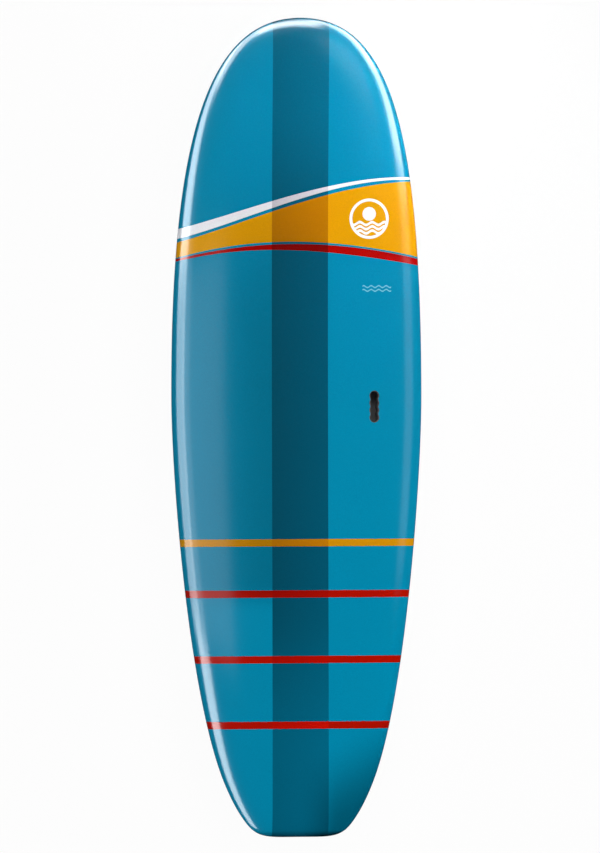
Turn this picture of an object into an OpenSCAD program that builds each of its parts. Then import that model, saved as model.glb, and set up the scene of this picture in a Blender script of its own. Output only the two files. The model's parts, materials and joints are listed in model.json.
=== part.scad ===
// Wide round-nosed surfboard, moulded as a foam sandwich.
// It lies deck up: +Y towards the nose, +X to starboard, +Z up.
// The origin is under the middle of the board, level with the tip of the centre fin.

/* [Board] */
// Length from nose to tail
board_length = 2440; // [2000:10:2800]
// Greatest width
board_width = 758; // [600:1:850]
// Greatest thickness, a little ahead of the middle
board_thickness = 98; // [80:1:130]
// Thickness of the nose tip
nose_thickness = 33; // [28:1:45]
// Thickness of the tail end
tail_thickness = 41; // [38:1:55]
// Rise of the bottom at the nose
nose_rocker = 115; // [60:1:160]
// Rise of the bottom at the tail
tail_rocker = 45; // [20:1:60]
// Share of the thickness that lies above the widest line of the rail
deck_share = 0.57; // [0.45:0.01:0.7]
// Flatness of the deck: low is domed, high is flat with tight rails
deck_flatness = 5; // [3:0.5:8]
// Flatness of the bottom
bottom_flatness = 12; // [6:1:16]

/* [Sandwich] */
// Thickness of each outer skin
skin_t = 2.2; // [1.5:0.1:3]
// Thickness of the reinforcement sheet under the rear foot
patch_t = 1.5; // [1:0.1:3]
// Thickness of the wooden stringer
stringer_t = 5; // [3:0.5:8]
// Bond gap round the blocks and fittings
bond_gap = 0.3; // [0.2:0.05:0.5]
// Glue line between the curved layers
glue_line = 1; // [0.8:0.1:1.5]

/* [Hand grip] */
// Distance of the grip from the centre line, towards starboard
grip_x = 226; // [200:1:240]
// Position of the grip along the board
grip_y = 62; // [0:1:120]
// Distance between neighbouring finger lobes
finger_pitch = 21.7; // [20:0.1:24]
// Radius of a finger lobe
lobe_r = 15; // [13:0.1:16]
// Width of the grip between two lobes
grip_neck = 25; // [22:0.5:27]
// Depth of the grip
grip_depth = 38; // [30:1:42]
// How far the finger pocket reaches under the deck, towards the centre line
grip_undercut = 11; // [6:1:14]

/* [Centre fin] */
// Position of the middle of the centre fin box
centre_box_y = -950; // [-960:1:-900]
// Length of the slot in the centre fin box
slot_length = 254; // [250:1:260]
// Width of the slot
slot_width = 9.6; // [9.4:0.1:10]
// Depth of the centre fin below the board
centre_fin_depth = 200; // [150:1:230]

/* [Side fins] */
// Distance of the side fins from the centre line
side_fin_x = 205; // [190:1:210]
// Position of the side fins along the board
side_fin_y = -850; // [-870:1:-820]
// Depth of the side fins
side_fin_depth = 112; // [80:1:125]
// Toe-in of the side fins, in degrees
toe_in = 2.5; // [0:0.5:4]
// Outward lean of the side fins, in degrees
cant = 5; // [0:0.5:8]

/* [Leash cup] */
// Position of the leash cup on the underside
leash_y = -1130; // [-1140:1:-1120]
// Radius of the well in the leash cup
leash_well_r = 11.5; // [10:0.5:12]
// Radius of the cross pin that the leash cord loops round
leash_pin_r = 2.25; // [2:0.05:3]

/* [Hidden] */

$fn = 48;
half_length = board_length / 2;
half_width = board_width / 2;
eps = 0.5;

// The right half of the outline, nose to tail, as four cubic curves.
// Their control points are shares of the half width and the half length.
outline = [for (curve = [
        [[0, 1], [0.7534, 1], [1, 0.6959], [1, 0.0797]],
        [[1, 0.0797], [1, -0.1173], [0.8727, -0.6483], [0.6008, -0.8628]],
        [[0.6008, -0.8628], [0.5427, -0.9086], [0.4786, -0.9451], [0.411, -0.9705]],
        [[0.411, -0.9705], [0.3217, -1.0037], [0.2279, -1], [0, -1]]])
    [for (p = curve) [p.x * half_width, p.y * half_length]]];
nose_curve = 0;
corner_curve = 3;
nose_start = 0.01;
tail_end = 0.985;

function bezier(p, t) = pow(1 - t, 3) * p[0] + 3 * pow(1 - t, 2) * t * p[1]
    + 3 * (1 - t) * t * t * p[2] + pow(t, 3) * p[3];
function bezier_slope(p, t) = pow(1 - t, 2) * (p[1] - p[0])
    + 2 * (1 - t) * t * (p[2] - p[1]) + t * t * (p[3] - p[2]);

// Stations along the outline: [curve, share along it], with counts per curve.
function stations(counts) = [for (c = [0:3]) for (i = [(c == 0 ? 0 : 1):counts[c]])
    let (first = c == nose_curve ? nose_start : 0, last = c == corner_curve ? tail_end : 1)
    [c, first + (last - first) * i / counts[c]]];

// A ray runs from the outline, square to it, to the centre line.
// Round the nose tip and the tail corner the rays fan out from a stretch of the centre line
// instead, so that they never cross.
nose_fan = 70;
nose_fan_share = 0.34;
tail_fan = 60;
function square_foot(curve, t) = let (o = bezier(outline[curve], t),
    d = bezier_slope(outline[curve], t)) o.y - o.x * d.x / abs(d.y);
nose_fan_y = square_foot(nose_curve, nose_fan_share);
tail_fan_y = square_foot(corner_curve, 0);
function foot(curve, t) = curve == corner_curve ? tail_fan_y - tail_fan * t
    : curve == nose_curve && t < nose_fan_share
        ? nose_fan_y + nose_fan * (1 - t / nose_fan_share) : square_foot(curve, t);
function ray(station) = [bezier(outline[station[0]], station[1]),
    [0, foot(station[0], station[1])]];

// Heights of the bottom, the rail line and the two sides of it at a place along the board
rocker_start = -100;
thickest_y = 50;
function share(y, from, to) = max(0, (y - from) / (to - from));
function rocker(y) = nose_rocker * pow(share(y, rocker_start, half_length), 2.6)
    + tail_rocker * pow(share(y, rocker_start, -half_length), 2);
function thickness(y) = board_thickness
    - (board_thickness - nose_thickness) * pow(share(y, thickest_y, half_length), 2.4)
    - (board_thickness - tail_thickness) * pow(share(y, thickest_y, -half_length), 2.3);
function deck_height(y) = deck_share * thickness(y);
function bottom_height(y) = (1 - deck_share) * thickness(y);
function rail_z(y) = base_z + rocker(y) + bottom_height(y);

// A point of the deck (side = 1) or the bottom (side = -1) on a ray, inset into the board.
// The angle runs from 0 at the rail to 90 on the centre line.
seam_gap = 0.1;
function flatness(side) = side > 0 ? deck_flatness : bottom_flatness;
function side_height(y, side) = side > 0 ? deck_height(y) : bottom_height(y);
function skin_point(r, side, angle, inset) = let (
        span = norm(r[1] - r[0]),
        reach = pow(cos(angle), 2 / flatness(side)) * (1 - inset / span),
        p = r[1] + (r[0] - r[1]) * reach,
        rise = seam_gap + (side_height(p.y, side) - inset - seam_gap) * sin(angle))
    [p.x, p.y, rail_z(p.y) + side * rise];
// The angles of half a row. The last of the steps crosses the flat middle of the board, so
// it is split into equal shares of its reach.
splits = 3;
function half_cols(steps) = steps - 1 + splits;
function row_angle(i, side, steps) = let (
        wide = pow(cos(90 * (steps - 1) / steps), 2 / flatness(side)),
        reach = wide * (half_cols(steps) - i) / splits)
    i < steps ? 90 * i / steps : acos(pow(reach, flatness(side) / 2));
// A whole row from the port rail to the starboard rail
function skin_row(r, side, steps, inset) = let (n = half_cols(steps))
    [for (i = [0:2 * n])
        let (a = row_angle(min(i, 2 * n - i), side, steps), p = skin_point(r, side, a, inset))
        [i < n ? -p.x : p.x, p.y, p.z]];
// Half a row, from the stringer to the rail, clear of the stringer by half_gap
function half_row(r, side, steps, inset, half_gap) = let (n = half_cols(steps), rail = r[0].x)
    [for (i = [0:n])
        let (p = skin_point(r, side, row_angle(n - i, side, steps), inset))
        [half_gap + p.x * (1 - half_gap / max(rail, 2 * half_gap)), p.y, p.z]];

// Surface height and slope where a fitting sits
width_table = [for (s = stations([20, 16, 4, 4])) let (o = ray(s)[0]) [o.y, o.x]];
function surface_z(x, y, side) = rail_z(y) + side * side_height(y, side)
    * sqrt(1 - pow(abs(x) / lookup(y, width_table), flatness(side)));
function slope_x(x, y, side) = (surface_z(x + 1, y, side) - surface_z(x - 1, y, side)) / 2;
function slope_y(x, y, side) = (surface_z(x, y + 1, side) - surface_z(x, y - 1, side)) / 2;

// Fin outlines seen from the side, as two cubic curves from the root to the tip:
// the leading edge and the trailing edge. Local +Y is forward and +Z is into the board.
centre_leading = [[62, 1], [52, -75], [0, -150], [-92, 2 - centre_fin_depth]];
centre_trailing = [[-84, 1], [-60, -50], [-60, -0.65 * centre_fin_depth],
                   [-106, 3 - centre_fin_depth]];
side_leading = [[56, -0.4], [42, -45], [8, -90], [-48, 1 - side_fin_depth]];
side_trailing = [[-56, -0.4], [-38, -30], [-38, -70], [-58, 3 - side_fin_depth]];
fin_rows = 16;

// The board is lifted until the lowest point of the centre fin is at height 0.
centre_box_sink = 0.4;
centre_tilt = atan(2 * tail_rocker * share(centre_box_y, rocker_start, -half_length)
    / (-half_length - rocker_start));
fin_low = min([for (i = [0:fin_rows]) for (edge = [centre_leading, centre_trailing])
    let (p = bezier(edge, i / fin_rows)) p.x * sin(centre_tilt) + p.y * cos(centre_tilt)]);
base_z = -fin_low - rocker(centre_box_y) - centre_box_sink * cos(centre_tilt);

// Centre fin box: a flanged trough with a slot and a wider channel across it
flange_t = skin_t;
centre_flange = [29, slot_length + 19];
centre_body = [23, slot_length + 12, 25];
slot_depth = 19.5;
channel = [15.4, 5.7, 11.3];
notch_length = 14;
centre_block_size = [60, 290, 36];
block_start = 3.3;
tab_t = slot_width - 0.6;
tab_height = 17.5;
tongue_front = 84;
tongue_z = [2.6, 5.4];
fin_screw_y = 75;
fin_screw_r = 2;
fin_screw_head = [4, 0.2];
fin_screw_length = 11;
fin_pin_y = -76;
fin_pin_z = 8.5;
fin_pin_r = 2.5;
fin_pin_length = 14.6;
plate_size = [13, 12, 2.4];
plate_z = 8.4;
thread_play = 0.05;

// Side fin boxes: two pockets each, and a grub screw leaning against each tab
side_flange = [23, 120];
side_body = [20, 114, 18];
side_block_size = [46, 140, 26];
side_block_start = 4.5;
pocket = [7, 26, 15];
pocket_y = 28;
side_tab = [6.4, 25.2, 14];
grub_lean = 20;
grub_x = 7.6;
grub_r = 2;
grub_from = 0.6;
grub_length = 5.6;
grub_bore = 9;
hex_r = 1.2;
hex_depth = 2;

// Hand grip
lobes = 4;
grip_wall = 1.8;
undercut_roof = 9;
grip_block_margin = [10, 12, 7];

// Leash cup
leash_rim_r = 16;
leash_body_r = 14;
leash_body_depth = 22;
leash_well_depth = 19.5;
leash_pin_z = 6;
leash_pin_length = 27;
leash_block_r = 30;
leash_block_depth = 27;

skin_color = [0.0, 0.48, 0.62];
bottom_color = [0.93, 0.95, 0.95];
foam_color = [0.96, 0.96, 0.94];
dense_foam_color = [0.86, 0.78, 0.6];
fitting_color = [0.06, 0.06, 0.07];
steel_color = [0.75, 0.76, 0.78];

// ---- Shared solids ----

// Two triangles for the four corners a, b, c, d
function quad(a, b, c, d) = [[a, b, c], [a, c, d]];
function flat(list) = [for (part = list) for (item = part) item];

// A closed solid between an upper and a lower grid of points. The rim runs along the
// rails. With wrap the ends are closed across the nose and the tail, where a row folds
// back on itself. Without it they are plain walls.
module layer(upper, lower, wrap) {
    rows = len(upper);
    cols = len(upper[0]);
    low = rows * cols;
    last = rows - 1;
    function id(i, j) = i * cols + j;
    sheets = [for (i = [0:last - 1]) for (j = [0:cols - 2]) concat(
        quad(id(i, j), id(i, j + 1), id(i + 1, j + 1), id(i + 1, j)),
        quad(low + id(i, j), low + id(i + 1, j), low + id(i + 1, j + 1), low + id(i, j + 1)))];
    rims = [for (i = [0:last - 1]) concat(
        quad(id(i, 0), id(i + 1, 0), low + id(i + 1, 0), low + id(i, 0)),
        quad(id(i + 1, cols - 1), id(i, cols - 1),
             low + id(i, cols - 1), low + id(i + 1, cols - 1)))];
    walls = [for (j = [0:cols - 2]) concat(
        quad(id(0, j + 1), id(0, j), low + id(0, j), low + id(0, j + 1)),
        quad(id(last, j), id(last, j + 1), low + id(last, j + 1), low + id(last, j)))];
    middle = (cols - 1) / 2;
    function fold(a, b, c, d, tip) = tip ? [[a, b, c]] : quad(a, b, c, d);
    folds = [for (j = [0:middle - 1]) let (k = cols - 1 - j, tip = j == middle - 1) concat(
        fold(id(0, k), id(0, j), id(0, j + 1), id(0, k - 1), tip),
        fold(low + id(0, j), low + id(0, k), low + id(0, k - 1), low + id(0, j + 1), tip),
        fold(id(last, j), id(last, k), id(last, k - 1), id(last, j + 1), tip),
        fold(low + id(last, k), low + id(last, j), low + id(last, j + 1),
             low + id(last, k - 1), tip))];
    bridges = concat(
        quad(id(0, 0), id(0, cols - 1), low + id(0, cols - 1), low + id(0, 0)),
        quad(id(last, cols - 1), id(last, 0), low + id(last, 0), low + id(last, cols - 1)));
    polyhedron(concat(flat(upper), flat(lower)),
        concat(flat(sheets), flat(rims), wrap ? concat(flat(folds), bridges) : flat(walls)));
}

// One skin: side = 1 is the deck, side = -1 is the bottom
module skin(side) {
    rays = [for (s = stations([16, 13, 4, 8])) ray(s)];
    steps = 9;
    outer = [for (r = rays) skin_row(r, side, steps, 0)];
    inner = [for (r = rays) skin_row(r, side, steps, skin_t)];
    if (side > 0)
        layer(outer, inner, true);
    else
        layer(inner, outer, true);
}

// Half of the foam core, on the starboard side
module half_core() {
    rays = [for (s = stations([12, 10, 3, 6])) ray(s)];
    steps = 8;
    half_gap = stringer_t / 2 + bond_gap;
    layer([for (r = rays) half_row(r, 1, steps, core_top_inset, half_gap)],
          [for (r = rays) half_row(r, -1, steps, skin_t + glue_line, half_gap)], false);
}
core_top_inset = skin_t + patch_t + 2 * glue_line;

// Puts its children on the surface, with local +Z along the outward normal of the deck,
// or into the board on the bottom
module on_surface(x, y, side) {
    translate([x, y, surface_z(x, y, side)])
        rotate([atan(slope_y(x, y, side)), -atan(slope_x(x, y, side)), 0])
            children();
}
module on_centre_box() {
    translate([0, centre_box_y, surface_z(0, centre_box_y, -1)])
        rotate([centre_tilt, 0, 0])
            translate([0, 0, centre_box_sink])
                children();
}
module on_side_box(hand) {
    on_surface(hand * side_fin_x, side_fin_y, -1)
        rotate([0, 0, hand * toe_in])
            scale([hand, 1, 1])
                children();
}

// A slab with rounded corners, standing on z = 0
module rounded_slab(size, r, height) {
    linear_extrude(height)
        union() {
            square([size.x - 2 * r, size.y], center = true);
            square([size.x, size.y - 2 * r], center = true);
            for (x = [-1, 1], y = [-1, 1])
                translate([x * (size.x / 2 - r), y * (size.y / 2 - r)])
                    circle(r);
        }
}
module block(size, from) {
    translate([-size.x / 2, -size.y / 2, from])
        cube(size);
}

// A foiled fin blade. Each row of points goes round one section of the foil.
module fin_blade(leading, trailing, root_t, tip_t, lean) {
    cols = 10;
    ring = 2 * cols;
    function foil(v) = 2.6 * sqrt(v) * (1 - v) + 0.09;
    rows = [for (i = [0:fin_rows])
        let (t = i / fin_rows, a = bezier(leading, t), b = bezier(trailing, t),
             half = (root_t + (tip_t - root_t) * t) / 2)
        [for (k = [0:ring - 1])
            let (v = (1 - cos(360 * k / ring)) / 2, p = a + (b - a) * v,
                 hand = k <= cols ? 1 : -1, bulge = k == 0 ? 0 : min(1, foil(v)))
            [hand * half * bulge - p.y * tan(lean), p.x, p.y]]];
    sides = [for (i = [0:fin_rows - 1]) for (k = [0:ring - 1])
        let (n = (k + 1) % ring, lo = i * ring, hi = (i + 1) * ring)
        quad(lo + k, hi + k, hi + n, lo + n)];
    ends = [[for (k = [0:ring - 1]) k], [for (k = [0:ring - 1]) fin_rows * ring + ring - 1 - k]];
    polyhedron(flat(rows), concat(flat(sides), ends));
}

// The scalloped outline of the hand grip, made smaller by inset
module grip_outline(inset) {
    neck = grip_neck - 2 * inset;
    square([neck, finger_pitch * (lobes - 1)], center = true);
    for (i = [0:lobes - 1])
        translate([0, finger_pitch * (i - (lobes - 1) / 2)])
            circle(lobe_r - inset);
}
grip_length = finger_pitch * (lobes - 1) + 2 * lobe_r;
// The outside of the grip cup, made bigger by play
module grip_envelope(play, top) {
    undercut = grip_undercut + lobe_r;
    translate([0, 0, -grip_depth - play])
        linear_extrude(grip_depth + play + top)
            grip_outline(-play);
    translate([-undercut - play, -grip_length / 2 - play, -grip_depth - play])
        cube([undercut + play, grip_length + 2 * play, grip_depth - undercut_roof + 2 * play]);
}
grip_block_size = [lobe_r * 2 + grip_undercut + 2 * grip_block_margin.x,
                   grip_length + 2 * grip_block_margin.y, grip_depth + grip_block_margin.z];
module grip_block_shape(play) {
    translate([-grip_undercut / 2, 0, 0])
        block([grip_block_size.x + 2 * play, grip_block_size.y + 2 * play,
               grip_block_size.z - block_start + (play > 0 ? block_start + 2 * play : 0)],
              -grip_block_size.z - play);
}

// Room for the fittings under the board, cut from the foam cores and the stringer
module fitting_pockets() {
    on_centre_box()
        block(centre_block_size + [2, 2, 10] * bond_gap + [0, 0, block_start], -2 * eps);
    for (hand = [-1, 1])
        on_side_box(hand)
            block(side_block_size + [2, 2, 10] * bond_gap + [0, 0, side_block_start], -2 * eps);
    on_surface(0, leash_y, -1)
        translate([0, 0, -2 * eps])
            cylinder(r = leash_block_r + bond_gap, h = leash_block_depth + 3 * eps + block_start);
}

// ---- Skins, core and stringer ----

module deck_skin() {
    color(skin_color)
        difference() {
            skin(1);
            on_surface(grip_x, grip_y, 1)
                grip_envelope(0.2, 5);
        }
}

module bottom_skin() {
    color(bottom_color)
        difference() {
            skin(-1);
            on_centre_box()
                translate([0, 0, -3])
                    rounded_slab(centre_flange + [1, 1] * 0.4, 5, 8);
            for (hand = [-1, 1])
                on_side_box(hand)
                    translate([0, 0, -3])
                        rounded_slab(side_flange + [1, 1] * 0.4, 5, 8);
            on_surface(0, leash_y, -1)
                translate([0, 0, -3])
                    cylinder(r = leash_rim_r + 0.2, h = 8);
        }
}

// Sheet of dense foam between the deck skin and the core, under the rear foot
module deck_patch() {
    rays = [for (i = [0:12]) ray([1, 0.18 + 0.66 * i / 12])];
    steps = 14;
    edge = 7;
    function part_row(r, inset) = let (row = skin_row(r, 1, steps, inset))
        [for (i = [edge:2 * half_cols(steps) - edge]) row[i]];
    color(dense_foam_color)
        layer([for (r = rays) part_row(r, skin_t + glue_line)],
              [for (r = rays) part_row(r, skin_t + glue_line + patch_t)], false);
}

module foam_core_right() {
    color(foam_color)
        difference() {
            half_core();
            fitting_pockets();
            on_surface(grip_x, grip_y, 1)
                grip_block_shape(bond_gap);
        }
}

module foam_core_left() {
    color(foam_color)
        difference() {
            mirror([1, 0, 0])
                half_core();
            fitting_pockets();
        }
}

// Heights of the stringer on the centre line: the rays at the nose and the tail run along
// it, so it tapers to the rail line there.
function centre_reach(y) = max(share(y, foot(nose_curve, nose_start), half_length),
    share(y, tail_fan_y - tail_fan, -half_length));
function centre_z(y, side, inset) = rail_z(y) + side * (side_height(y, side) - inset)
    * sqrt(1 - pow(min(1, centre_reach(y) * half_length / (half_length - inset)), flatness(side)));
module stringer() {
    reach = half_length - 12;
    steps = 48;
    ys = [for (i = [0:steps]) -reach * cos(180 * i / steps)];
    color([0.8, 0.62, 0.4])
        difference() {
            rotate([90, 0, 90])
                linear_extrude(stringer_t, center = true)
                    polygon(concat([for (y = ys) [y, centre_z(y, -1, skin_t + glue_line)]],
                        [for (i = [0:steps]) [ys[steps - i],
                            centre_z(ys[steps - i], 1, core_top_inset)]]));
            fitting_pockets();
        }
}

// ---- Hand grip ----

module hand_grip_cup() {
    undercut = grip_undercut + lobe_r;
    color(fitting_color)
        on_surface(grip_x, grip_y, 1)
            difference() {
                grip_envelope(0, 0);
                translate([0, 0, grip_wall - grip_depth])
                    linear_extrude(grip_depth)
                        grip_outline(grip_wall);
                translate([grip_wall - undercut, grip_wall - grip_length / 2,
                           grip_wall - grip_depth])
                    cube([undercut - grip_wall, grip_length - 2 * grip_wall,
                          grip_depth - undercut_roof - 2 * grip_wall]);
            }
}

module hand_grip_block() {
    color(dense_foam_color)
        on_surface(grip_x, grip_y, 1)
            difference() {
                grip_block_shape(0);
                grip_envelope(bond_gap, 5);
            }
}

// ---- Centre fin and its box ----

module centre_fin_box() {
    color(fitting_color)
        on_centre_box()
            difference() {
                union() {
                    rounded_slab(centre_flange, 5, flange_t);
                    rounded_slab([centre_body.x, centre_body.y], 3, centre_body.z);
                }
                block([slot_width, slot_length, slot_depth + eps], -eps);
                block([channel.x, slot_length, channel[2] - channel[1]], channel[1]);
                block([channel.x, notch_length, channel[1] + 2 * eps], -eps);
            }
}

module centre_fin_block() {
    color(dense_foam_color)
        on_centre_box()
            difference() {
                block(centre_block_size, block_start);
                translate([0, 0, -eps])
                    rounded_slab([centre_body.x, centre_body.y] + [2, 2] * bond_gap, 3,
                                 centre_body.z + bond_gap + eps);
            }
}

// The blade, the tab that stands in the slot, and the tongue that the screw holds
module centre_fin() {
    tab = [tab_t, centre_leading[0].x - centre_trailing[0].x, tab_height + eps];
    color(fitting_color)
        on_centre_box()
            difference() {
                union() {
                    fin_blade(centre_leading, centre_trailing, tab_t, 4, 0);
                    translate([-tab_t / 2, centre_trailing[0].x, -eps])
                        cube(tab);
                    translate([-tab_t / 2, centre_leading[0].x - eps, tongue_z[0]])
                        cube([tab_t, tongue_front - centre_leading[0].x + eps,
                              tongue_z[1] - tongue_z[0]]);
                }
                translate([0, fin_pin_y, fin_pin_z])
                    rotate([0, 90, 0])
                        cylinder(r = fin_pin_r + 0.02, h = 2 * tab_t, center = true);
                translate([0, fin_screw_y, 0])
                    cylinder(r = fin_screw_r + 0.2, h = tab_height);
            }
}

module centre_fin_pin() {
    color(steel_color)
        on_centre_box()
            translate([0, fin_pin_y, fin_pin_z])
                rotate([0, 90, 0])
                    cylinder(r = fin_pin_r, h = fin_pin_length, center = true);
}

module centre_fin_screw() {
    head_top = tongue_z[0] - 0.1;
    color(steel_color)
        on_centre_box()
            translate([0, fin_screw_y, 0])
                difference() {
                    union() {
                        translate([0, 0, fin_screw_head[1]])
                            cylinder(r = fin_screw_head[0], h = head_top - fin_screw_head[1]);
                        translate([0, 0, head_top - eps])
                            cylinder(r = fin_screw_r, h = fin_screw_length + eps);
                    }
                    translate([-0.6, -fin_screw_head[0], fin_screw_head[1] - eps])
                        cube([1.2, 2 * fin_screw_head[0], 1 + eps]);
                }
}

// The square nut in the channel, which the screw pulls the fin against
module centre_fin_plate() {
    color(steel_color)
        on_centre_box()
            translate([0, fin_screw_y, 0])
                difference() {
                    block(plate_size, plate_z);
                    cylinder(r = fin_screw_r + thread_play, h = 2 * plate_z);
                }
}

// ---- Side fins and their boxes (hand = 1 is starboard, -1 is port) ----

// Puts its children on the axis of each grub screw
module on_grub_screws() {
    for (end = [-1, 1])
        translate([-grub_x, end * pocket_y, 0])
            rotate([0, grub_lean, 0])
                children();
}

module side_fin_box(hand) {
    color(fitting_color)
        on_side_box(hand)
            difference() {
                union() {
                    rounded_slab(side_flange, 5, flange_t);
                    rounded_slab([side_body.x, side_body.y], 3, side_body.z);
                }
                for (end = [-1, 1])
                    translate([0, end * pocket_y, 0])
                        block(pocket + [0, 0, eps], -eps);
                on_grub_screws()
                    translate([0, 0, -2])
                        cylinder(r = grub_r + thread_play, h = grub_bore + 2);
            }
}

module side_fin_block(hand) {
    color(dense_foam_color)
        on_side_box(hand)
            difference() {
                block(side_block_size, side_block_start);
                translate([0, 0, -eps])
                    rounded_slab([side_body.x, side_body.y] + [2, 2] * bond_gap, 3,
                                 side_body.z + bond_gap + eps);
            }
}

module side_fin(hand) {
    color(fitting_color)
        on_side_box(hand)
            union() {
                fin_blade(side_leading, side_trailing, side_tab.x, 3, cant);
                for (end = [-1, 1])
                    translate([0, end * pocket_y, 0])
                        block(side_tab + [0, 0, 2 * eps], -2 * eps);
            }
}

// The four grub screws that clamp the tabs of the side fins
module side_fin_screws() {
    color(steel_color)
        for (hand = [-1, 1])
            on_side_box(hand)
                on_grub_screws()
                    translate([0, 0, grub_from])
                        difference() {
                            cylinder(r = grub_r, h = grub_length);
                            translate([0, 0, -eps])
                                cylinder(r = hex_r, h = hex_depth + eps, $fn = 6);
                        }
}

// ---- Leash cup on the underside ----

module leash_cup() {
    color(fitting_color)
        on_surface(0, leash_y, -1)
            difference() {
                union() {
                    cylinder(r = leash_rim_r, h = flange_t);
                    cylinder(r = leash_body_r, h = leash_body_depth);
                }
                translate([0, 0, -eps])
                    cylinder(r = leash_well_r, h = leash_well_depth + eps);
                translate([0, 0, leash_pin_z])
                    rotate([0, 90, 0])
                        cylinder(r = leash_pin_r + 0.02, h = 3 * leash_body_r, center = true);
            }
}

module leash_pin() {
    color(steel_color)
        on_surface(0, leash_y, -1)
            translate([0, 0, leash_pin_z])
                rotate([0, 90, 0])
                    cylinder(r = leash_pin_r, h = leash_pin_length, center = true);
}

module leash_block() {
    color(dense_foam_color)
        on_surface(0, leash_y, -1)
            difference() {
                translate([0, 0, block_start])
                    cylinder(r = leash_block_r, h = leash_block_depth - block_start);
                translate([0, 0, -eps])
                    cylinder(r = leash_body_r + bond_gap, h = leash_body_depth + bond_gap + eps);
            }
}

deck_skin();
bottom_skin();
deck_patch();
foam_core_left();
foam_core_right();
stringer();
hand_grip_cup();
hand_grip_block();
centre_fin_box();
centre_fin_block();
centre_fin();
centre_fin_pin();
centre_fin_screw();
centre_fin_plate();
side_fin_box(-1);  // side_fin_box_left
side_fin_box(1);  // side_fin_box_right
side_fin_block(-1);  // side_fin_block_left
side_fin_block(1);  // side_fin_block_right
side_fin(-1);  // side_fin_left
side_fin(1);  // side_fin_right
side_fin_screws();
leash_cup();
leash_pin();
leash_block();
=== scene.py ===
"""Surfboard: smooth skins and fins over the CAD frame, painted deck, studio light and camera."""
import json
import math

import bmesh
import bpy
from mathutils import Matrix, Vector


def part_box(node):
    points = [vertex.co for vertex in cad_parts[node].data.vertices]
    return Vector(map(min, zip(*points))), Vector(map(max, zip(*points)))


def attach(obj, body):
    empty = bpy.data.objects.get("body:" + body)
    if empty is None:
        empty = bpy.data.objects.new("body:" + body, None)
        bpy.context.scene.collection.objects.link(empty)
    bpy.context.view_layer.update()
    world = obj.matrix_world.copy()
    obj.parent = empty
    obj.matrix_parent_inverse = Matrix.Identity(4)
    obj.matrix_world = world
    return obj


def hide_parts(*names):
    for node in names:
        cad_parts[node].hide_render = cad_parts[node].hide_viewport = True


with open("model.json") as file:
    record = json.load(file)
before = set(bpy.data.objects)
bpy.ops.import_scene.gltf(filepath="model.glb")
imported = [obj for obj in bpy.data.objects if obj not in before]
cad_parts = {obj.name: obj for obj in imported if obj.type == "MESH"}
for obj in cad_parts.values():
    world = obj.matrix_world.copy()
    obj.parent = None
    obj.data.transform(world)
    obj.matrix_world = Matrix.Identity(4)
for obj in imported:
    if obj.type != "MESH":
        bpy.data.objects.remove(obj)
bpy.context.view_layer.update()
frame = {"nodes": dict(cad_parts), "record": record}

NODES = frame["nodes"]

# ---- The board's form, in millimetres, as the CAD skins have it ----
MM = 0.001
DECK_LOW, DECK_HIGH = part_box("deck_skin")
HALF_LENGTH = (DECK_HIGH.y - DECK_LOW.y) / 2 / MM
HALF_WIDTH = (DECK_HIGH.x - DECK_LOW.x) / 2 / MM
BASE_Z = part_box("bottom_skin")[0].z / MM
THICKNESS, NOSE_THICKNESS, TAIL_THICKNESS = 98, 33, 41
NOSE_ROCKER, TAIL_ROCKER = 115, 45
ROCKER_START, THICKEST_Y = -100, 50
NOSE_ROCKER_POWER, TAIL_ROCKER_POWER = 2.6, 2.0
NOSE_THIN_POWER, TAIL_THIN_POWER = 2.4, 2.3
DECK_SHARE = 0.57
FLATNESS = {1: 5, -1: 12}
SKIN_T = 2.2
SEAM_GAP = 0.1
NOSE_FAN, NOSE_FAN_SHARE, TAIL_FAN = 70, 0.34, 60
NOSE_START, TAIL_END = 0.01, 0.985
NOSE_CURVE, CORNER_CURVE = 0, 3

# Control points of the outline from nose to tail, as shares of half width and half length
OUTLINE = [
    [(x * HALF_WIDTH, y * HALF_LENGTH) for x, y in curve]
    for curve in (
        ((0, 1), (0.7534, 1), (1, 0.6959), (1, 0.0797)),
        ((1, 0.0797), (1, -0.1173), (0.8727, -0.6483), (0.6008, -0.8628)),
        ((0.6008, -0.8628), (0.5427, -0.9086), (0.4786, -0.9451), (0.411, -0.9705)),
        ((0.411, -0.9705), (0.3217, -1.0037), (0.2279, -1), (0, -1)),
    )
]

SKIN_STATIONS = (72, 60, 16, 36)
SKIN_STEPS = 26
SKIN_SPLITS = 8
SKIN_SHARP, FIN_SHARP = 35, 40
CORNER_FACETS, LOBE_FACETS, HOLE_FACETS, RIM_FACETS = 8, 24, 48, 64
SAME_POINT = 0.01
TABLE_STATIONS = (20, 16, 4, 4)

# Fittings: place on the surface and size of the cut in the skin
GRIP_X, GRIP_Y = 226, 62
FINGER_PITCH, LOBE_R, LOBES, GRIP_NECK = 21.7, 15, 4, 25
CENTRE_BOX_Y, CENTRE_BOX_SINK = -950, 0.4
CENTRE_FLANGE = (29, 273)
SIDE_FIN_X, SIDE_FIN_Y, TOE_IN, CANT = 205, -850, 2.5, 5
SIDE_FLANGE = (23, 120)
FLANGE_CORNER = 5
LEASH_Y, LEASH_RIM_R = -1130, 16
FIT_GAP = 0.2
GRIP_CUT, FITTING_CUT = (-5, 5), (-3, 5)

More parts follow.
